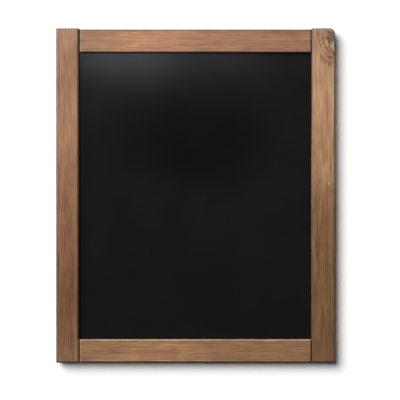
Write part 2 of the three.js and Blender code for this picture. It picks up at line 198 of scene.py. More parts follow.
class NodeTree:
    """One material's nodes. An input is a plain value or the socket of an earlier node."""

    def __init__(self, name):
        self.material = bpy.data.materials.new(name)
        self.material.use_nodes = True
        self.tree = self.material.node_tree
        self.tree.nodes.clear()

    def add(self, kind, settings=(), **inputs):
        node = self.tree.nodes.new(kind)
        for key, value in dict(settings).items():
            setattr(node, key, value)
        for key, value in inputs.items():
            self.feed(node.inputs[key.replace("_", " ")], value)
        return node

    def feed(self, socket, value):
        if isinstance(value, bpy.types.NodeSocket):
            self.tree.links.new(value, socket)
        else:
            socket.default_value = value

    def math(self, operation, a, b=0.0):
        node = self.add("ShaderNodeMath", {"operation": operation})
        self.feed(node.inputs[0], a)
        self.feed(node.inputs[1], b)
        return node.outputs[0]

    def plus(self, a, b):
        return self.math("ADD", a, b)

    def minus(self, a, b):
        return self.math("SUBTRACT", a, b)

    def times(self, a, b):
        return self.math("MULTIPLY", a, b)

    def weighted(self, shares, a, b):
        """The sum of two values, each times its share."""
        return self.plus(self.times(a, shares[0]), self.times(b, shares[1]))

    def length(self, a, b):
        """How long the way is that goes a along one axis and b along the other."""
        return self.math("SQRT", self.plus(self.math("POWER", a, 2.0), self.math("POWER", b, 2.0)))

    def position(self):
        return self.add("ShaderNodeTexCoord").outputs["Object"]

    def facing(self):
        """The way the surface faces, in the same axes as position."""
        return self.add("ShaderNodeTexCoord").outputs["Normal"]

    def axes(self, vector):
        return self.add("ShaderNodeSeparateXYZ", Vector=vector).outputs

    def vector(self, x, y, z):
        return self.add("ShaderNodeCombineXYZ", X=x, Y=y, Z=z).outputs[0]

    def noise(self, vector, kind, seed=0.0):
        """Soft noise from 0 to 1, of a kind that NOISES lists."""
        size, own_seed, detail = NOISES[kind]
        scale = tuple(1 / (length * MM) for length in size)
        mapped = self.add("ShaderNodeMapping", {"vector_type": "POINT"}, Vector=vector, Scale=scale)
        inputs = {"Vector": mapped.outputs[0], "W": seed + own_seed, "Scale": 1.0, "Detail": detail}
        return self.add("ShaderNodeTexNoise", {"noise_dimensions": "4D"}, **inputs).outputs[0]

    def ranged(self, settings, *values):
        node = self.add("ShaderNodeMapRange", settings)
        for socket, given in zip(node.inputs, values):
            self.feed(socket, given)
        return node.outputs[0]

    def smooth(self, value, low, high, to_low=0.0, to_high=1.0):
        """A soft step from to_low to to_high as the value goes from low to high."""
        return self.ranged({"interpolation_type": "SMOOTHSTEP"}, value, low, high, to_low, to_high)

    def spread(self, value, to_low, to_high, low=0.0, high=1.0):
        """A straight change of range."""
        return self.ranged({}, value, low, high, to_low, to_high)

    def ramp(self, value, stops):
        node = self.add("ShaderNodeValToRGB", Fac=value)
        ramp = node.color_ramp
        ramp.interpolation = "EASE"
        while len(ramp.elements) < len(stops):
            ramp.elements.new(1.0)
        for element, (place, grey) in zip(ramp.elements, stops):
            element.position = place
            element.color = (grey, grey, grey, 1.0)
        return node.outputs[0]

    def mix(self, share, a, b, blend="MIX"):
        node = self.add("ShaderNodeMix", {"data_type": "RGBA", "blend_type": blend})
        colours = [socket for socket in node.inputs if socket.type == "RGBA"]
        self.feed(node.inputs[0], share)
        self.feed(colours[0], a)
        self.feed(colours[1], b)
        return [socket for socket in node.outputs if socket.type == "RGBA"][0]

    def tinted(self, share, base, tint):
        """The base, and where the share is 1 the base multiplied by the tint."""
        return self.mix(share, base, self.mix(1.0, base, tint, "MULTIPLY"))

    def scaled(self, colour, factor):
        """A colour times a number."""
        node = self.add("ShaderNodeVectorMath", {"operation": "SCALE"})
        self.feed(node.inputs[0], colour)
        self.feed(node.inputs["Scale"], factor)
        return node.outputs[0]

    def bump(self, height, distance, strength=1.0):
        node = self.add("ShaderNodeBump", Height=height, Distance=distance, Strength=strength)
        return node.outputs[0]

    def surface(self, settings):
        """The material's own shader; the settings are its sockets by name."""
        shader = self.add("ShaderNodeBsdfPrincipled")
        for key, value in settings.items():
            self.feed(shader.inputs[key], value)
        self.output(shader.outputs[0])
        return self.material

    def mix_shaders(self, share, a, b):
        mixed = self.add("ShaderNodeMixShader", Fac=share)
        self.tree.links.new(a, mixed.inputs[1])
        self.tree.links.new(b, mixed.inputs[2])
        return mixed.outputs[0]

    def output(self, shader):
        out = self.add("ShaderNodeOutputMaterial")
        self.tree.links.new(shader, out.inputs["Surface"])


def colour(red, green, blue):
    return (red, green, blue, 1.0)


# Stained pine. Two numbers are the ends of a range. Four are a soft step: the two values between which
# it happens, and the levels before and after it.

HALVES = (0.5, 0.5)
RING_PITCH = 4.2 * MM
YEARS_SPREAD = 1.8  # how far wide and narrow years shift the rings
YEAR_DARKENS = (0.20, 0.84)
YEAR_ENDS = (0.88, 1.0, 1.0, 0.0)
RING_PATCHES = (0.36, 0.64, 0.15, 1.0)
WARP_REACH = 8 * MM
RIPPLE_REACH = 2.5 * MM
KNOT_STRETCH = 1.6
KNOT_OUTLINE = (0.50, 1.50)  # how far its lumps pull it in and out
KNOT_CORE = 0.2  # in radii of the knot, like the next three
KNOT_GRIP = 3.6
KNOT_RINGED = 2.6
KNOT_NEAR = (1.5, 3.5)
KNOT_PUSH = 0.62
KNOT_RINGS = 3.0
MARK_OUTLINE = (0.35, 1.65)
MARK_EDGE = (0.45, 1.35)  # in half widths of the mark
MARK_STRENGTH = 0.9
MARK_SEED_STEP = 9
FIBRE_SHADE = (0.34, 0.66, 0.80, 1.17)
STREAK_SHADE = (0.60, 1.40)
MOTTLE_SHADE = (0.66, 1.36)
BAND_SHADE = (0.86, 1.14)
DASH_SHADE = (0.66, 0.78, 1.0, 0.84)
END_GRAIN_SHADE = (0.6, 0.97, 1.0, 0.45)
WARMTH = (0.42, 0.58)
THIN_COAT = (0.55, 0.95)
COAT_UNEVENNESS = 1.3  # how streaky a thick coat of stain is
PINE_ROUGHNESS = (0.62, 0.44)
PINE_RELIEF = (0.5, 0.35)  # the shares of the fibres and of the late wood
PINE_BUMP = (0.10 * MM, 0.8)
PINE_GLOSS = 0.4
PINE_EARLY = colour(0.385, 0.196, 0.100)
PINE_LATE = colour(0.200, 0.088, 0.039)
PINE_ROSY = colour(1.045, 0.965, 1.025)
PINE_GOLDEN = colour(0.97, 1.025, 0.94)

# What each kind of mark near a knot does to the wood's colour
BARK = colour(0.40, 0.35, 0.47)
RESIN = colour(0.30, 0.22, 0.22)
STREAKED = colour(0.64, 0.54, 0.52)
BLEACHED = colour(1.25, 1.34, 1.60)
WEATHERED = colour(0.96, 0.99, 1.17)

# What the stain on an edge, partly painted shade where the edge faces away from the light, and the pale
# rubbing beside it, partly a painted highlight where the edge faces the light, do to the wood's colour
EDGE_STAIN_AND_SHADE = colour(0.17, 0.075, 0.02)
EDGE_STAIN_AND_SHADE_ENDS = (-0.6 * MM, 0.5 * MM)  # from its reach, like the next two
PALE_BAND_FROM = (-0.2 * MM, 0.6 * MM)
PALE_BAND_TO = (1.1 * MM, 2.3 * MM)
PALE_BAND_STREAKS = (0.3, 0.7)
PALE_BAND_LEAST = 0.6
EDGE_RUB_AND_HIGHLIGHT = colour(1.12, 1.50, 2.05)
EDGE_GREYED = colour(0.82, 0.98, 1.20)
GREYED_SHARE = (2.0 * MM, 7 * MM, 0.9, 0.0)
JOINT_STAIN = colour(0.50, 0.25, 0.11)
JOINT_STAIN_REACH = 1.9 * MM
JOINT_FADE = 0.5 * MM

# Each member's own grain, with its lengths in millimetres: where its pith lies from the middle of the
# face (across it and into it), how fast the pith drifts, how strongly the rings show, a seed, how pale
# the wood is and how that runs from one end to the other, partly a thinner coat of stain and partly
# painted shade (the stiles darker towards the bottom, where less light fell), what a thick and a thin
# coat of stain do to its colour, its knots and the marks near them.
# A knot is its place along and across the member in the frame's axes, and its radius.
# A mark is its kind, its place along and across, its half length and half width, and how far it leans
# across for each unit along.
# A sweep is where along the member the grain starts to drift and where it ends, how far it drifts, and
# between which two places across the member that comes in.
# Each edge, named by the way that it faces, has a share of stain on it, how far in that reaches, and a
# share of pale rubbing beside it. Both are partly painted light: the stain is heaviest on the downward
# edges and on the left stile's inner edge, which face away from the light, as painted shade, and the
# pale band is strongest on the bottom rail's upward edge, with no stain there, as a painted highlight.
# A stile also has the side that its joints are on, and the shares of their dirt that are left in the
# top one and in the bottom one.
GRAIN = {
    "left_stile": {
        "pith": (-74, 35),
        "drift": 0.010,
        "contrast": 0.62,
        "seed": 3.1,
        "paleness": 0.97,
        "tones_and_painted_shade": (
            (0.0, 0.80), (0.17, 0.58), (0.45, 0.73), (0.57, 0.80),
            (0.68, 1.0), (0.86, 0.82), (1.0, 0.96),
        ),
        "thick": colour(1.00, 0.88, 0.82),
        "thin": colour(1.04, 1.06, 1.10),
        "knots": (),
        "marks": (),
        "edges": {
            "left": (0.52, 2.2, 0.15),
            "right": (0.95, 4.0, 0.0),
            "up": (0.66, 2.0, 0.30),
            "down": (0.66, 2.8, 0.45),
        },
        "joints": ("right", 1.0, 0.30),
    },
    "right_stile": {
        "pith": (92, 20),
        "drift": -0.006,
        "contrast": 0.78,
        "seed": 7.4,
        "paleness": 1.34,
        "tones_and_painted_shade": ((0.0, 0.46), (0.25, 0.47), (0.42, 0.54), (0.60, 0.84), (0.85, 0.98), (1.0, 0.80)),
        "thick": colour(1.02, 1.02, 0.86),
        "thin": colour(1.15, 1.29, 1.28),
        "knots": (
            (46, 246, 8.0),
            (13, 244, 5.0),
            (-226, 246, 4.0),
        ),
        "marks": (
            (WEATHERED, 30, 231, 32, 21, 0.0),
            (BARK, 47, 245, 9.5, 8.5, 0.0),
            (BARK, 38, 239, 6.0, 3.0, -0.5),
            (RESIN, 54, 238, 3.0, 1.8, 0.0),
            (RESIN, 38, 245, 2.0, 2.8, 0.0),
            (STREAKED, 42, 229, 10.0, 3.0, -0.15),
            (STREAKED, 50, 219, 5.0, 2.0, -0.3),
            (STREAKED, 27, 233, 12.0, 1.3, -0.6),
            (STREAKED, 22, 238, 10.0, 1.3, -0.6),
            (STREAKED, 36, 222, 12.0, 1.2, -0.3),
            (STREAKED, 12, 235, 9.0, 1.8, -0.5),
            (STREAKED, 4, 229, 10.0, 4.6, -0.4),
            (STREAKED, -2, 240, 8.0, 4.6, -0.3),
            (STREAKED, 24, 216, 14.0, 1.0, -0.1),
            (RESIN, 24, 241, 6.0, 1.0, -0.6),
            (RESIN, 20, 245, 5.0, 1.1, -0.5),
            (RESIN, 14, 247.5, 4.0, 1.0, -0.2),
            (RESIN, 8, 243, 3.0, 2.0, -0.5),
            (BLEACHED, 13, 241.5, 2.4, 1.3, -0.4),
            (BLEACHED, 28, 246.5, 8.0, 1.1, 0.0),
            (STREAKED, -219, 245, 4.0, 1.8, 0.0),
            (STREAKED, -231, 244, 2.8, 2.4, 0.0),
            (STREAKED, -226, 237, 6.0, 2.2, 0.1),
            (BLEACHED, -217, 240, 3.6, 2.4, 0.3),
            (STREAKED, -225, 218, 12.0, 0.9, 0.0),
            (STREAKED, -214, 223, 6.0, 0.9, 0.0),
            # this mark is a dark line along the stile's inner edge beside the panel, given with the
            # resin colour
            (RESIN, -50, 208.4, 115, 1.5, 0.0),
        ),
        "sweep": (2, 48, 14, 210, 230),
        "edges": {
            "left": (0.50, 2.2, 0.15),
            "right": (0.60, 2.3, 0.95),
            "up": (0.66, 2.0, 0.35),
            "down": (0.70, 2.8, 0.45),
        },
        "joints": ("left", 0.25, 0.60),
    },
    "top_rail": {
        "pith": (38, -46),
        "drift": 0.020,
        "contrast": 0.42,
        "seed": 11.9,
        "paleness": 1.01,
        "tones_and_painted_shade": ((0.0, 0.76), (0.12, 0.81), (0.25, 0.97), (0.60, 0.79), (1.0, 0.78)),
        "thick": colour(1.12, 1.14, 1.19),
        "thin": colour(1.24, 1.17, 1.15),
        "knots": (),
        "marks": (),
        "edges": {
            "left": (0.35, 1.2, 0.15),
            "right": (0.30, 2.0, 0.0),
            "up": (0.58, 2.6, 0.0),
            "down": (0.85, 2.3, 0.35),
        },
    },
    "bottom_rail": {
        "pith": (-48, 40),
        "drift": -0.014,
        "contrast": 0.48,
        "seed": 17.2,
        "paleness": 1.08,
        "tones_and_painted_shade": ((0.0, 0.80), (0.30, 0.92), (0.45, 0.94), (0.60, 0.81), (1.0, 0.77)),
        "thick": colour(1.08, 1.08, 1.04),
        "thin": colour(1.14, 1.20, 1.16),
        "knots": (),
        "marks": (),
        "edges": {
            "left": (0.35, 1.2, 0.15),
            "right": (0.42, 2.0, 0.0),
            "up": (0.0, 0.3, 1.0),
            "down": (0.78, 3.0, 0.75),
        },
    },
}


def distance_to(n, across, along, place, stretch, lean=0.0):
    """How far a place is from a knot or mark, which reaches further along the grain than across it."""
    off_along = n.minus(along, place[0])
    off_across = n.minus(across, place[1])
    leaning = n.minus(off_across, n.times(off_along, lean))
    shrunk = n.times(off_along, 1 / stretch)
    return n.length(leaning, shrunk), off_across


def knots_in(n, across, along, knots, seed):
    """Where the grain lies once the knots have pushed it aside, the growth rings that they add, and how
    near the nearest knot is, from 0 to 1."""
    bent = across
    added_rings = 0.0
    nearness = 0.0
    near, far = KNOT_NEAR
    for knot in knots:
        place_along, place_across, radius = (length * MM for length in knot)
        distance, off_across = distance_to(n, across, along, (place_along, place_across), KNOT_STRETCH)
        lumps = n.noise(n.vector(across, along, seed), "knot lumps", seed + place_along)
        distance = n.times(distance, n.spread(lumps, *KNOT_OUTLINE))
        push = n.smooth(distance, KNOT_CORE * radius, KNOT_GRIP * radius, KNOT_PUSH, 0.0)
        bent = n.minus(bent, n.times(off_across, push))
        more_rings = n.smooth(distance, 0.0, KNOT_RINGED * radius, KNOT_RINGS, 0.0)
        added_rings = n.plus(added_rings, more_rings)
        close = n.smooth(distance, near * radius, far * radius, 1.0, 0.0)
        nearness = n.math("MAXIMUM", nearness, close)
    return bent, added_rings, nearness


def marked(n, wood, across, along, marks, seed):
    """The wood with its marks laid over it, each with an uneven edge."""
    inner, outer = MARK_EDGE
    for kind, *lengths, lean in marks:
        place_along, place_across, half_length, half_width = (length * MM for length in lengths)
        stretch = half_length / half_width
        distance = distance_to(n, across, along, (place_along, place_across), stretch, lean)[0]
        own_seed = seed + MARK_SEED_STEP * place_along
        lumps = n.noise(n.vector(across, along, seed), "mark lumps", own_seed)
        uneven = n.times(distance, n.spread(lumps, *MARK_OUTLINE))
        share = n.smooth(uneven, inner * half_width, outer * half_width, MARK_STRENGTH, 0.0)
        wood = n.tinted(share, wood, kind)
    return wood


def growth_rings(n, across, depth, along, grain, look, added_rings):
    """From 0 in the pale early wood to 1 in the dark late wood."""
    seed = look["seed"]
    warp = n.noise(grain, "warp", seed)
    ripple = n.noise(grain, "ripple", seed)
    swayed = n.plus(across, n.spread(warp, -WARP_REACH, WARP_REACH))
    swayed = n.plus(swayed, n.spread(ripple, -RIPPLE_REACH, RIPPLE_REACH))
    drift = n.times(along, look["drift"])
    pith_across, pith_depth = look["pith"]
    from_pith = n.plus(n.minus(swayed, pith_across * MM), drift)
    below_pith = n.minus(depth, pith_depth * MM)
    radius = n.length(from_pith, below_pith)
    years = n.noise(n.vector(radius, 0.0, 0.0), "years", seed)
    phase = n.plus(n.math("DIVIDE", radius, RING_PITCH), n.spread(years, 0.0, YEARS_SPREAD))
    year = n.math("FRACT", n.plus(phase, added_rings))
    darkening = n.smooth(year, *YEAR_DARKENS)
    line = n.times(darkening, n.smooth(year, *YEAR_ENDS))
    patches = n.noise(grain, "ring patches", seed)
    return n.times(line, n.smooth(patches, *RING_PATCHES))


def end_shade(n, upright):
    """Darker where the surface cuts across the fibres, because end grain drinks more stain."""
    facing = n.axes(n.facing())[2 if upright else 0]
    return n.smooth(n.math("ABSOLUTE", facing), *END_GRAIN_SHADE)


def inside_by(n, value, low, high):
    """How far a value is inside its range, measured from the nearer end."""
    from_middle = n.math("ABSOLUTE", n.minus(value, (low + high) / 2))
    return n.minus((high - low) / 2, from_middle)


def beside_rails(n, z, top, bottom, between):
    """One number beside the top rail, one beside the bottom rail and one between them."""
    above = n.smooth(z, top_low.z - JOINT_FADE, top_low.z + JOINT_FADE, between, top)
    below = n.smooth(z, bottom_high.z - JOINT_FADE, bottom_high.z + JOINT_FADE, bottom - between, 0.0)
    return n.plus(above, below)


def edged(n, wood, position, low, high, edges, joints, streak):
    """Stain on the rounded edges and pale rubbing beside it, partly painted shade and highlight."""
    x, y, z = position
    off_face = inside_by(n, y, low.y, high.y)
    off_side = n.math("MINIMUM", inside_by(n, x, low.x, high.x), inside_by(n, z, low.z, high.z))
    wood = n.tinted(n.smooth(n.plus(off_side, off_face), *GREYED_SHARE), wood, EDGE_GREYED)
    inward = {
        "left": n.minus(x, low.x),
        "right": n.minus(high.x, x),
        "up": n.minus(high.z, z),
        "down": n.minus(z, low.z),
    }
    for side, (edge_tint_share, reach, rub_and_highlight) in edges.items():
        ends, starts, stops = [
            (reach * MM + first, reach * MM + last)
            for first, last in (EDGE_STAIN_AND_SHADE_ENDS, PALE_BAND_FROM, PALE_BAND_TO)
        ]
        off = n.plus(inward[side], off_face)
        # partly painted highlight: the pale band, strongest on the bottom rail's upward edge
        beside = n.smooth(off, *starts)
        beside = n.times(beside, n.smooth(off, *stops, 1.0, 0.0))
        beside = n.times(beside, n.smooth(streak, *PALE_BAND_STREAKS, PALE_BAND_LEAST * rub_and_highlight, rub_and_highlight))
        wood = n.tinted(beside, wood, EDGE_RUB_AND_HIGHLIGHT)
        # partly painted shade: the edge stain is heaviest on edges that face away from the light
        stain_and_shade = n.smooth(off, *ends, edge_tint_share, 0.0)
        if joints and side == joints[0]:
            stain_and_shade = n.times(stain_and_shade, beside_rails(n, z, joints[1], joints[2], 1.0))
        wood = n.tinted(stain_and_shade, wood, EDGE_STAIN_AND_SHADE)
    return wood


def joint_stain(n, x, z, joints):
    """How much stain and dirt lies in the grooves between the rails and the stiles."""
    off = n.math("ABSOLUTE", n.minus(n.math("ABSOLUTE", x), opening_x))
    near = n.smooth(off, 0.5 * JOINT_STAIN_REACH, JOINT_STAIN_REACH, 1.0, 0.0)
    return n.times(near, beside_rails(n, z, joints[1], joints[2], 0.0))


def stained_pine(name):
    look = GRAIN[name]
    seed = look["seed"]
    low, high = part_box(name)
    middle = (low + high) / 2
    upright = name.endswith("stile")
    n = NodeTree("stained_pine_" + name)
    position = n.axes(n.position())
    x, y, z = position
    along, crosswise = (z, x) if upright else (x, z)
    middle_across = middle.x if upright else middle.z
    low_along, high_along = (low.z, high.z) if upright else (low.x, high.x)

    bent, added_rings, nearness = knots_in(n, crosswise, along, look["knots"], seed)
    if "sweep" in look:
        start, end, drift, inner, outer = (length * MM for length in look["sweep"])
        swept = n.times(n.smooth(along, start, end, 0.0, drift), n.smooth(crosswise, inner, outer))
        bent = n.plus(bent, swept)
    across = n.minus(bent, middle_across)
    depth = n.minus(y, middle.y)
    grain = n.vector(across, depth, along)

    late = growth_rings(n, across, depth, along, grain, look, added_rings)
    fibre = n.noise(grain, "fibre", seed)
    streak = n.noise(grain, "streak", seed)
    mottle = n.noise(grain, "mottle", seed)
    band = n.noise(grain, "band", seed)
    dash = n.smooth(n.noise(grain, "dash", seed), *DASH_SHADE)
    place = n.spread(along, 0.0, 1.0, low_along, high_along)

    contrast = n.plus(n.times(nearness, 1.0 - look["contrast"]), look["contrast"])
    wood = n.mix(n.times(late, contrast), PINE_EARLY, PINE_LATE)
    warmth = n.smooth(n.weighted(HALVES, mottle, band), *WARMTH)
    wood = n.mix(1.0, wood, n.mix(warmth, PINE_ROSY, PINE_GOLDEN), "MULTIPLY")
    # partly painted shade: this ramp darkens the stiles towards the bottom, where less light fell
    thinness_and_shade = n.ramp(place, look["tones_and_painted_shade"])
    thin_share = n.smooth(thinness_and_shade, *THIN_COAT)
    wood = n.mix(1.0, wood, n.mix(thin_share, look["thick"], look["thin"]), "MULTIPLY")
    coat = n.minus(n.noise(grain, "coat", seed), 0.5)
    unevenness = n.times(n.minus(1.0, thin_share), COAT_UNEVENNESS)
    coat = n.plus(n.times(coat, unevenness), 1.0)
    tone_and_shade = n.times(thinness_and_shade, look["paleness"])
    for shade in (
        n.smooth(fibre, *FIBRE_SHADE),
        n.spread(streak, *STREAK_SHADE),
        n.spread(mottle, *MOTTLE_SHADE),
        n.spread(band, *BAND_SHADE),
        dash,
        coat,
        tone_and_shade,
        end_shade(n, upright),
    ):
        wood = n.scaled(wood, shade)
    wood = marked(n, wood, crosswise, along, look["marks"], seed)
    joints = look.get("joints")
    wood = edged(n, wood, position, low, high, look["edges"], joints, streak)
    if joints:
        wood = n.tinted(joint_stain(n, x, z, joints), wood, JOINT_STAIN)

    relief = n.weighted(PINE_RELIEF, fibre, late)
    return n.surface({
        "Base Color": wood,
        "Roughness": n.spread(fibre, *PINE_ROUGHNESS),
        "Normal": n.bump(relief, *PINE_BUMP),
        "Specular IOR Level": PINE_GLOSS,
    })


# Other materials

REFLECTED_BORDER_REACH = 5.5 * MM  # how far the brown border painted on the panel along the frame reaches, a painted reflection of the frame
BORDER_SHARE = (1.0 * MM, REFLECTED_BORDER_REACH, 0.9, 0.0)
BORDER_REFLECTION = colour(0.0150, 0.0062, 0.0026)
LEFT_BORDER_SHARE = 0.3  # the share of it along the left lip
PAINTED_FACING = (-0.9, -0.6, 1.0, 0.0)
CHALK_CLOUDS = (0.35, 0.7)
BLACK_BARE = colour(0.0092, 0.0091, 0.0092)
BLACK_CHALKED = colour(0.0112, 0.0109, 0.0107)
WIPE_SHADE = (0.9, 1.12)
DARK_REFLECTION_X = -15 * MM  # middle of a darker patch below the sheen, a painted dark reflection
DARK_REFLECTION_Z = -130 * MM
DARK_REFLECTION_REACH_X = 200 * MM
DARK_REFLECTION_REACH_Z = 130 * MM
DARK_REFLECTION_SHADE = (0.2, 1.0, 0.55, 1.0)
LIP_PAINTED_LIGHT = (1.0 * MM, 9 * MM, 2.4, 1.0)  # painted light: the face is paler along the left lip, where the lip's shadow falls
HARDBOARD_DARK = colour(0.150, 0.080, 0.042)
HARDBOARD_PALE = colour(0.330, 0.200, 0.115)
HARDBOARD_AGED = colour(0.93, 0.90, 0.86)
AGED_PATCHES = (0.40, 0.62)
DAMP_SHADE = (0.92, 1.08)
SCREEN_PITCH = 1.7 * MM
SCREEN_SHADE = (1.0, 0.82)
FACE_ROUGHNESS = (0.145, 0.195)
FACE_SHARES = (0.6, 0.4)  # of the clouds and of the grit in that
BACK_ROUGHNESS = 0.82
GRIT_HEIGHT = 0.25
PANEL_BUMP = (0.12 * MM, 0.7)
PANEL_GLOSS = 0.20


def black_board():
    """Matt black on the face, and the brown screen side of hardboard on the back and edges."""
    n = NodeTree("black_board")
    position = n.position()
    x, _, z = n.axes(position)
    painted = n.smooth(n.axes(n.facing())[1], *PAINTED_FACING)
    grit = n.noise(position, "panel grit")
    cloud = n.noise(position, "panel clouds")
    wipe = n.noise(position, "panel wipes")
    fibre = n.noise(position, "hardboard fibre")
    black = n.mix(n.smooth(cloud, *CHALK_CLOUDS), BLACK_BARE, BLACK_CHALKED)
    black = n.scaled(black, n.spread(wipe, *WIPE_SHADE))
    # painted reflection: the face is darker in a patch below the sheen
    off_x = n.math("DIVIDE", n.minus(x, DARK_REFLECTION_X), DARK_REFLECTION_REACH_X)
    off_z = n.math("DIVIDE", n.minus(z, DARK_REFLECTION_Z), DARK_REFLECTION_REACH_Z)
    black = n.scaled(black, n.smooth(n.length(off_x, off_z), *DARK_REFLECTION_SHADE))
    off_left = n.plus(x, opening_x)
    # painted light: paler along the left lip, against the lip's shadow
    black = n.scaled(black, n.smooth(off_left, *LIP_PAINTED_LIGHT))
    off_frame = n.minus(opening_x, n.math("ABSOLUTE", x))
    off_frame = n.math("MINIMUM", off_frame, inside_by(n, z, bottom_high.z, top_low.z))
    # painted reflection: a brown border on the panel along the frame, weaker along the left lip
    edge_tint_share = n.smooth(off_frame, *BORDER_SHARE)
    edge_tint_share = n.times(edge_tint_share, n.smooth(off_left, 0.0, 2 * REFLECTED_BORDER_REACH, LEFT_BORDER_SHARE, 1.0))
    black = n.mix(edge_tint_share, black, BORDER_REFLECTION)
    brown = n.mix(fibre, HARDBOARD_DARK, HARDBOARD_PALE)
    aged = n.noise(position, "hardboard age")
    damp = n.noise(position, "hardboard damp")
    brown = n.tinted(n.smooth(aged, *AGED_PATCHES), brown, HARDBOARD_AGED)
    brown = n.scaled(brown, n.spread(damp, *DAMP_SHADE))
    pitch = 2 * math.pi / SCREEN_PITCH
    screen_x = n.math("SINE", n.times(x, pitch))
    screen_z = n.math("SINE", n.times(z, pitch))
    screen = n.times(screen_x, screen_z)
    brown = n.scaled(brown, n.spread(screen, *SCREEN_SHADE))
    base = n.mix(painted, brown, black)
    face_rough = n.spread(n.weighted(FACE_SHARES, cloud, grit), *FACE_ROUGHNESS)
    rough = n.plus(n.times(painted, n.minus(face_rough, BACK_ROUGHNESS)), BACK_ROUGHNESS)
    height = n.mix(painted, n.plus(screen, fibre), n.times(grit, GRIT_HEIGHT))
    return n.surface({
        "Base Color": base,
        "Roughness": rough,
        "Normal": n.bump(height, *PANEL_BUMP),
        "Specular IOR Level": PANEL_GLOSS,
    })


NICKEL_BRIGHT = colour(0.52, 0.495, 0.46)
NICKEL_DULL = colour(0.36, 0.33, 0.29)
TARNISHED = (0.4, 0.72)
NICKEL_ROUGHNESS = (0.26, 0.52)
NICKEL_BUMP = (0.01 * MM, 0.6)


def nickel_plate():
    n = NodeTree("nickel_plate")
    position = n.position()
    brushed = n.noise(position, "nickel brushing")
    tarnish = n.noise(position, "nickel tarnish")
    metal = n.mix(n.smooth(tarnish, *TARNISHED), NICKEL_BRIGHT, NICKEL_DULL)
    return n.surface({
        "Base Color": metal,
        "Metallic": 1.0,
        "Roughness": n.spread(n.weighted(HALVES, brushed, tarnish), *NICKEL_ROUGHNESS),
        "Normal": n.bump(brushed, *NICKEL_BUMP),
    })


STEEL_BRIGHT = colour(0.42, 0.43, 0.45)
STEEL_DULL = colour(0.24, 0.22, 0.21)
OXIDISED = (0.4, 0.7)
STEEL_ROUGHNESS = (0.28, 0.60)
STEEL_BUMP = (0.01 * MM, 0.5)


def spring_steel():
    n = NodeTree("spring_steel")
    position = n.position()
    rolled = n.noise(position, "steel rolling")
    oxide = n.noise(position, "steel oxide")
    metal = n.mix(n.smooth(oxide, *OXIDISED), STEEL_BRIGHT, STEEL_DULL)
    return n.surface({
        "Base Color": metal,
        "Metallic": 1.0,
        "Roughness": n.spread(oxide, *STEEL_ROUGHNESS),
        "Normal": n.bump(rolled, *STEEL_BUMP),
    })


BEECH_DARK = colour(0.50, 0.31, 0.17)
BEECH_PALE = colour(0.68, 0.47, 0.29)
FLECK_SHADE = (0.6, 0.75, 1.0, 0.78)
BEECH_ROUGHNESS = (0.75, 0.6)
BEECH_BUMP = 0.05 * MM


def beech():
    n = NodeTree("beech")
    position = n.position()
    fibre = n.noise(position, "beech fibre")
    fleck = n.noise(position, "beech fleck")
    wood = n.mix(fibre, BEECH_DARK, BEECH_PALE)
    wood = n.scaled(wood, n.smooth(fleck, *FLECK_SHADE))
    return n.surface({
        "Base Color": wood,
        "Roughness": n.spread(fibre, *BEECH_ROUGHNESS),
        "Normal": n.bump(fibre, BEECH_BUMP),
    })


RUBBER_BLACK = colour(0.022, 0.022, 0.023)
RUBBER_BLOOMED = colour(0.045, 0.043, 0.041)
BLOOMED = (0.4, 0.75)
RUBBER_ROUGHNESS = (0.62, 0.84)
RUBBER_BUMP = 0.03 * MM


def rubber():
    n = NodeTree("rubber")
    position = n.position()
    skin = n.noise(position, "rubber skin")
    bloom = n.noise(position, "rubber bloom")
    black = n.mix(n.smooth(bloom, *BLOOMED), RUBBER_BLACK, RUBBER_BLOOMED)
    return n.surface({
        "Base Color": black,
        "Roughness": n.spread(bloom, *RUBBER_ROUGHNESS),
        "Normal": n.bump(skin, RUBBER_BUMP),
    })


# Pieces

def placed(name, data):
    """A new object in the scene."""
    made = bpy.data.objects.new(name, data)
    bpy.context.scene.collection.objects.link(made)
    return made


def mesh_from(name, shape):
    mesh = bpy.data.meshes.new(name)
    shape.to_mesh(mesh)
    shape.free()
    return mesh


def mesh_of(node):
    """A node's solid with its shared corners joined."""
    shape = bmesh.new()
    shape.from_mesh(frame["nodes"][node].data)
    bmesh.ops.remove_doubles(shape, verts=shape.verts, dist=WELD)
    return shape


def clean(shape):
    """Joins corners that coincide and drops the slivers that a cut leaves."""
    bmesh.ops.remove_doubles(shape, verts=shape.verts, dist=WELD)
    bmesh.ops.dissolve_degenerate(shape, dist=WELD, edges=shape.edges)


def crease(shape):
    """Soft shading over the rounded surfaces, and a sharp line at every real edge."""
    for face in shape.faces:
        face.smooth = True
    for edge in shape.edges:
        edge.smooth = edge.calc_face_angle(0.0) < SMOOTH_ANGLE


def add_piece(name, shape, material, body, stands_for):
    mesh = mesh_from(name, shape)
    if "custom_normal" in mesh.attributes:
        mesh.attributes.remove(mesh.attributes["custom_normal"])
    mesh.materials.clear()
    mesh.materials.append(material)
    piece = placed(name, mesh)
    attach(piece, body)
    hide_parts(*stands_for)
    return piece


def level_normals(piece):
    """Flat faces stay flat in the light right up to their rounded edges."""
    piece.modifiers.new("level_normals", "WEIGHTED_NORMAL").keep_sharp = True


def slice_along(shape, axis, low, high):
    count = round((high - low) / SLICE_STEP)
    normal = Vector((0, 0, 0))
    normal[axis] = 1.0
    for i in range(1, count):
        place = normal * (low + (high - low) * i / count)
        geometry = [*shape.verts, *shape.edges, *shape.faces]
        bmesh.ops.bisect_plane(shape, geom=geometry, dist=WELD, plane_co=place, plane_no=normal)


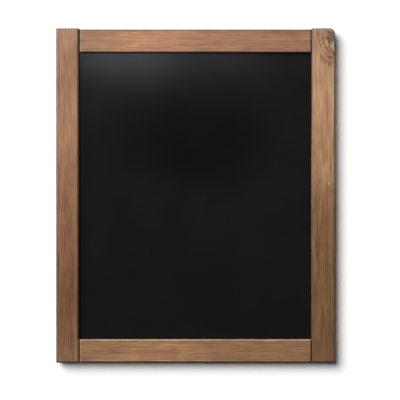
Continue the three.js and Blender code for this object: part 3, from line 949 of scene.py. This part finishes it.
def wear_depth(place, seed):
    """How much wood is gone from an arris here: never less than none."""
    long_wave = noise.noise(place / LONG_WAVE + seed)
    short_wave = noise.noise(place / SHORT_WAVE + 2 * seed)
    corner = Vector((board_high.x, place.y, board_high.z))
    closeness = max(0.0, 1.0 - (place - corner).length / CORNER_REACH)
    depth = ARRIS_WEAR + CORNER_WEAR * closeness
    return depth * max(0.0, WEAR_LEVEL + LONG_SWING * long_wave + SHORT_SWING * short_wave)


def wear_arrises(shape, low, high, across_axis, seed):
    """Moves the rounded arrises in by an uneven little, as sanding by hand leaves them."""
    middle = (low + high) / 2
    for vert in shape.verts:
        to_face = min(vert.co.y - low.y, high.y - vert.co.y)
        off = vert.co[across_axis] - middle[across_axis]
        to_side = (high[across_axis] - low[across_axis]) / 2 - abs(off)
        share = max(0.0, 1 - to_face / ARRIS) * max(0.0, 1 - to_side / ARRIS)
        if share > 0:
            inward = Vector((0, 0, 0))
            inward.y = math.copysign(1.0, middle.y - vert.co.y)
            inward[across_axis] = -math.copysign(1.0, off)
            vert.co += inward.normalized() * share * wear_depth(vert.co, seed)


def member(name):
    low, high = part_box(name)
    upright = name.endswith("stile")
    along_axis, across_axis = (2, 0) if upright else (0, 2)
    seed = Vector((GRAIN[name]["seed"],) * 3)
    shape = mesh_of(name)
    slice_along(shape, along_axis, low[along_axis], high[along_axis])
    clean(shape)
    wear_arrises(shape, low, high, across_axis, seed)
    crease(shape)
    piece = add_piece(name + "_wood", shape, stained_pine(name), "board", [name])
    level_normals(piece)


def eased_copy(node, body, material, ease):
    """A node's own shape with every sharp edge eased."""
    shape = mesh_of(node)
    bmesh.ops.dissolve_limit(shape, angle_limit=FLAT_ANGLE, verts=shape.verts, edges=shape.edges)
    crease(shape)
    piece = add_piece(node + "_eased", shape, material, body, [node])
    bevel = piece.modifiers.new("eased", "BEVEL")
    bevel.width = ease
    bevel.segments = EASE_SEGMENTS
    bevel.limit_method = "ANGLE"
    bevel.angle_limit = SMOOTH_ANGLE
    level_normals(piece)


def swept_tube(stations, radius, sides):
    """A closed round tube through the stations, each a middle and two directions square to the way."""
    shape = bmesh.new()
    rings = []
    for middle, first, second in stations:
        ring = []
        for i in range(sides):
            angle = 2 * math.pi * i / sides
            aside = math.cos(angle) * first + math.sin(angle) * second
            ring.append(shape.verts.new(middle + radius * aside))
        rings.append(ring)
    for i, ring in enumerate(rings):
        following = rings[(i + 1) % len(rings)]
        for j in range(sides):
            k = (j + 1) % sides
            shape.faces.new((ring[j], following[j], following[k], ring[k]))
    bmesh.ops.recalc_face_normals(shape, faces=shape.faces)
    return shape


def arc(centre_x, centre_y, radius, start, end, steps):
    """Points along an arc."""
    points = []
    for i in range(steps + 1):
        angle = start + (end - start) * i / steps
        points.append((centre_x + radius * math.cos(angle), centre_y + radius * math.sin(angle)))
    return points


def ring_path(bow):
    """The ring's middle line in its own plane, from the bar on the hinge line round the half circle."""
    quarter = math.pi / 2
    bend = bow - RING_CORNER
    points = arc(bend, RING_CORNER, RING_CORNER, -quarter, 0, BEND_STEPS)
    points += arc(0, RING_REACH - bow, bow, 0, math.pi, BOW_STEPS)
    points += arc(-bend, RING_CORNER, RING_CORNER, math.pi, math.pi + quarter, BEND_STEPS)
    return [Vector(point) for point in points]


def hanging_ring(side, material):
    node = side + "_ring"
    low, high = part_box(node)
    hinge = next(Vector(j["pos_m"]) for j in frame["joints"] if j["name"] == side + "_ring_swing")
    lean = math.asin((hinge.y - rear_y - RING_WIRE / 2 - RING_REST_GAP) / RING_REACH)
    up = Vector((0, -math.sin(lean), math.cos(lean)))
    out = Vector((0, math.cos(lean), math.sin(lean)))
    aside = Vector((1, 0, 0))
    path = ring_path((high.x - low.x - RING_WIRE) / 2)
    stations = []
    for i, point in enumerate(path):
        before = path[i - 1]
        after = path[(i + 1) % len(path)]
        way = (after - before).normalized()
        middle = hinge + aside * point.x + up * point.y
        stations.append((middle, aside * way.y - up * way.x, out))
    shape = swept_tube(stations, RING_WIRE / 2, WIRE_SIDES)
    crease(shape)
    add_piece(node + "_wire", shape, material, side + "_hang_ring", [node])


def turned(profile, sides):
    """A body turned about the Y axis. Its profile of (radius, y) starts and ends on the axis."""
    shape = bmesh.new()
    first = shape.verts.new((0, profile[0][1], 0))
    last = shape.verts.new((0, profile[-1][1], 0))
    rings = []
    for radius, y in profile[1:-1]:
        ring = []
        for i in range(sides):
            angle = 2 * math.pi * i / sides
            ring.append(shape.verts.new((radius * math.cos(angle), y, radius * math.sin(angle))))
        rings.append(ring)
    for j in range(sides):
        k = (j + 1) % sides
        shape.faces.new((first, rings[0][j], rings[0][k]))
        shape.faces.new((last, rings[-1][k], rings[-1][j]))
        for inner, outer in zip(rings, rings[1:]):
            shape.faces.new((inner[j], outer[j], outer[k], inner[k]))
    bmesh.ops.recalc_face_normals(shape, faces=shape.faces)
    return shape


def cross_cutter(top):
    """A tapered cross that sinks the driver's recess into a screw head."""
    shape = bmesh.new()
    for turn in (0, math.pi / 2):
        made = bmesh.ops.create_cube(shape, size=1.0)["verts"]
        for vert in made:
            deep = vert.co.y < 0
            shrink_x, shrink_z = RECESS_TAPER if deep else (1.0, 1.0)
            vert.co.x *= RECESS_SPAN * shrink_x
            vert.co.z *= RECESS_WIDTH * shrink_z
            vert.co.y = top - RECESS_DEPTH if deep else top + RECESS_DEPTH
        bmesh.ops.rotate(shape, verts=made, cent=(0, 0, 0), matrix=Matrix.Rotation(turn, 3, "Y"))
    return placed("cross_cutter", mesh_from("cross_cutter", shape))


def screw(node, material):
    low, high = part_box(node)
    head_radius = (high.x - low.x) / 2
    shank = SHANK_DIAMETER / 2
    seat = high.y - HEAD_HEIGHT
    rim = seat + HEAD_RIM
    round_radius = high.y - rim
    profile = [(0, low.y), (TIP_RADIUS, low.y + TIP_HEIGHT), (shank, low.y + SHANK_TIP)]
    profile += [(shank, seat), (head_radius, seat)]
    profile += arc(head_radius - round_radius, rim, round_radius, 0, math.pi / 2, ROUND_STEPS)
    profile += [(0, high.y)]
    shape = turned(profile, SCREW_SIDES)
    cutter = cross_cutter(high.y)
    centre = Vector(((low.x + high.x) / 2, 0, (low.z + high.z) / 2))
    blank = placed("turned_screw", mesh_from("turned_screw", shape))
    cut = blank.modifiers.new("recess", "BOOLEAN")
    cut.operation = "DIFFERENCE"
    cut.object = cutter
    cut.solver = "EXACT"
    cut.use_self = True
    made = bmesh.new()
    made.from_object(blank, bpy.context.evaluated_depsgraph_get())
    for leftover in (blank, cutter):
        bpy.data.objects.remove(leftover)
    clean(made)
    bmesh.ops.translate(made, verts=made.verts, vec=centre)
    crease(made)
    piece = add_piece(node + "_turned", made, material, "board", [node])
    level_normals(piece)


def bumper(side, material):
    node = side + "_bumper"
    low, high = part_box(node)
    radius = (high.x - low.x) / 2
    foot = radius - BUMPER_FOOT
    face = radius - BUMPER_TAPER
    dish_y = high.y - DISH_DEPTH
    profile = [(0, low.y), (foot, low.y)]
    profile += arc(foot, low.y + BUMPER_FOOT, BUMPER_FOOT, -math.pi / 2, 0, FOOT_STEPS)[1:]
    profile += arc(face - BUMPER_EDGE, high.y - BUMPER_EDGE, BUMPER_EDGE, 0, math.pi / 2, ROUND_STEPS)
    profile += [(DISH_RADIUS, high.y), (DISH_RADIUS - DISH_SLOPE, dish_y), (0, dish_y)]
    shape = turned(profile, BUMPER_SIDES)
    bmesh.ops.translate(shape, verts=shape.verts, vec=((low.x + high.x) / 2, 0, (low.z + high.z) / 2))
    crease(shape)
    level_normals(add_piece(node + "_moulded", shape, material, "board", [node]))


# Surroundings

def quad(name, corners, material):
    mesh = bpy.data.meshes.new(name)
    mesh.from_pydata(corners, [], [(0, 1, 2, 3)])
    mesh.materials.append(material)
    sheet = placed(name, mesh)
    return sheet


def seen_from_front(n, shader):
    """Shows the shader to the camera on the side that the sheet faces, and nothing to any other ray."""
    camera_ray = n.add("ShaderNodeLightPath").outputs["Is Camera Ray"]
    back = n.add("ShaderNodeNewGeometry").outputs["Backfacing"]
    share = n.times(camera_ray, n.minus(1.0, back))
    clear = n.add("ShaderNodeBsdfTransparent").outputs[0]
    n.output(n.mix_shaders(share, clear, shader))
    return n.material


def wall():
    """A white wall that keeps the board's shadow and is plain white further out."""
    n = NodeTree("wall")
    x, _, z = n.axes(n.position())
    diffuse = n.add("ShaderNodeBsdfDiffuse", Color=WALL_COLOUR).outputs[0]
    middle = (board_low + board_high) / 2
    half = (board_high - board_low) / 2
    off_x = n.minus(n.math("ABSOLUTE", n.minus(x, middle.x)), half.x)
    off_z = n.minus(n.math("ABSOLUTE", n.minus(z, middle.z)), half.z)
    beyond = n.smooth(n.math("MAXIMUM", off_x, off_z), WALL_SHADOW_REACH, WALL_FADE_REACH)
    glow = n.add("ShaderNodeEmission", Color=colour(*WHITE), Strength=1.0).outputs[0]
    material = seen_from_front(n, n.mix_shaders(beyond, diffuse, glow))
    return quad("wall", [(x, 0, z) for x, z in SHEET], material)


def floor():
    n = NodeTree("floor")
    diffuse = n.add("ShaderNodeBsdfDiffuse", Color=FLOOR_COLOUR).outputs[0]
    return quad("floor", [(x, y, FLOOR_Z) for x, y in SHEET], seen_from_front(n, diffuse))


def room():
    """White behind all that the camera sees, a dim room before the board and a pale one behind it."""
    world = bpy.data.worlds.new("room")
    bpy.context.scene.world = world
    world.use_nodes = True
    tree = world.node_tree
    tree.nodes.clear()
    direction = tree.nodes.new("ShaderNodeTexCoord")
    split = tree.nodes.new("ShaderNodeSeparateXYZ")
    level = tree.nodes.new("ShaderNodeMapRange")
    level.interpolation_type = "SMOOTHSTEP"
    path = tree.nodes.new("ShaderNodeLightPath")
    mirrored = tree.nodes.new("ShaderNodeMix")
    choose = tree.nodes.new("ShaderNodeMix")
    background = tree.nodes.new("ShaderNodeBackground")
    out = tree.nodes.new("ShaderNodeOutputWorld")
    tree.links.new(direction.outputs["Generated"], split.inputs[0])
    tree.links.new(split.outputs["Y"], level.inputs["Value"])
    tree.links.new(path.outputs["Is Glossy Ray"], mirrored.inputs[0])
    mirrored.inputs[2].default_value = ROOM_REAR
    mirrored.inputs[3].default_value = ROOM_REAR_MIRRORED
    for socket, value in zip(level.inputs[1:4], (*ROOM_CHANGE, ROOM_FRONT)):
        socket.default_value = value
    tree.links.new(mirrored.outputs[0], level.inputs["To Max"])
    tree.links.new(path.outputs["Is Camera Ray"], choose.inputs[0])
    tree.links.new(level.outputs[0], choose.inputs[2])
    choose.inputs[3].default_value = 1.0
    background.inputs["Color"].default_value = colour(*WHITE)
    tree.links.new(choose.outputs[0], background.inputs["Strength"])
    tree.links.new(background.outputs[0], out.inputs["Surface"])


def lamp(name, kind, place, way, tint):
    data = bpy.data.lights.new(name, kind)
    data.color = tint
    light = placed(name, data)
    light.location = place
    light.rotation_mode = "QUATERNION"
    light.rotation_quaternion = way.to_track_quat("-Z", "Y")
    light.visible_camera = False
    return light


def softbox(name, place, way, tint, size, power):
    light = lamp(name, "AREA", place, way, tint)
    light.data.shape = "RECTANGLE"
    light.data.size, light.data.size_y = size
    light.data.energy = power
    return light


def sun(name, place, slope, tint, level, angle):
    """A far lamp. White square to the axis along which its slope is 1 gets this level of light."""
    light = lamp(name, "SUN", place, slope, tint)
    light.data.energy = math.pi * level * slope.length
    light.data.angle = angle
    return light


def light_list(name, sheets, state):
    """Names sheets that a lamp lights alone, or that it leaves out."""
    group = bpy.data.collections.new(name)
    for sheet in sheets:
        group.objects.link(sheet)
    for entry in group.collection_objects:
        entry.light_linking.link_state = state
    return group


def lights(backdrop, ground):
    for_board = light_list("not_the_wall", [backdrop], "EXCLUDE")
    for light in (
        sun("key", FRONT_PLACE, KEY_SLOPE, KEY_COLOUR, KEY_LEVEL, KEY_ANGLE),
        softbox("sheen", SHEEN_PLACE, TO_WALL, SHEEN_COLOUR, SHEEN_SIZE, SHEEN_POWER),
        softbox("glow", GLOW_PLACE, TO_WALL, SHEEN_COLOUR, GLOW_SIZE, GLOW_POWER),
        softbox("veil", VEIL_PLACE, TO_WALL, SHEEN_COLOUR, VEIL_SIZE, VEIL_POWER),
        softbox("side", SIDE_PLACE, SIDE_AIM - SIDE_PLACE, SIDE_COLOUR, SIDE_SIZE, SIDE_POWER),
        sun("rear", REAR_PLACE, REAR_SLOPE, WHITE, REAR_LEVEL, REAR_ANGLE),
        sun("fill", RIGHT_PLACE, FILL_SLOPE, WHITE, FILL_LEVEL, FILL_ANGLE),
    ):
        light.light_linking.receiver_collection = for_board
    wall_key = sun("wall_key", FRONT_PLACE, WALL_KEY_SLOPE, WHITE, WALL_KEY_LEVEL, WALL_KEY_ANGLE)
    for_wall = light_list("wall_and_floor", [backdrop, ground], "INCLUDE")
    wall_key.light_linking.receiver_collection = for_wall


def camera():
    data = bpy.data.cameras.new("camera")
    data.sensor_fit = "HORIZONTAL"
    data.angle = 2 * math.atan(VIEW_WIDTH / 2 / CAMERA_DISTANCE)
    eye = placed("camera", data)
    eye.location = (CAMERA_X, front_y - CAMERA_DISTANCE, CAMERA_Z)
    eye.rotation_euler = (math.radians(90), 0, 0)
    bpy.context.scene.camera = eye


def dress():
    for name in GRAIN:
        member(name)
    eased_copy("writing_panel", "board", black_board(), PANEL_EASE)
    nickel = nickel_plate()
    steel = spring_steel()
    wood = beech()
    black = rubber()
    for node, shown in frame["nodes"].items():
        if node.startswith("dowel_"):
            shown.material_slots[0].material = wood
        elif node.startswith("point_"):
            eased_copy(node, "board", steel, POINT_EASE)
        elif node.startswith("screw_"):
            screw(node, nickel)
    for side in ("left", "right"):
        eased_copy(side + "_strap", "board", nickel, STRAP_EASE)
        hanging_ring(side, nickel)
        bumper(side, black)


camera()
room()
lights(wall(), floor())
dress()
bpy.context.scene.view_settings.view_transform = "Standard"
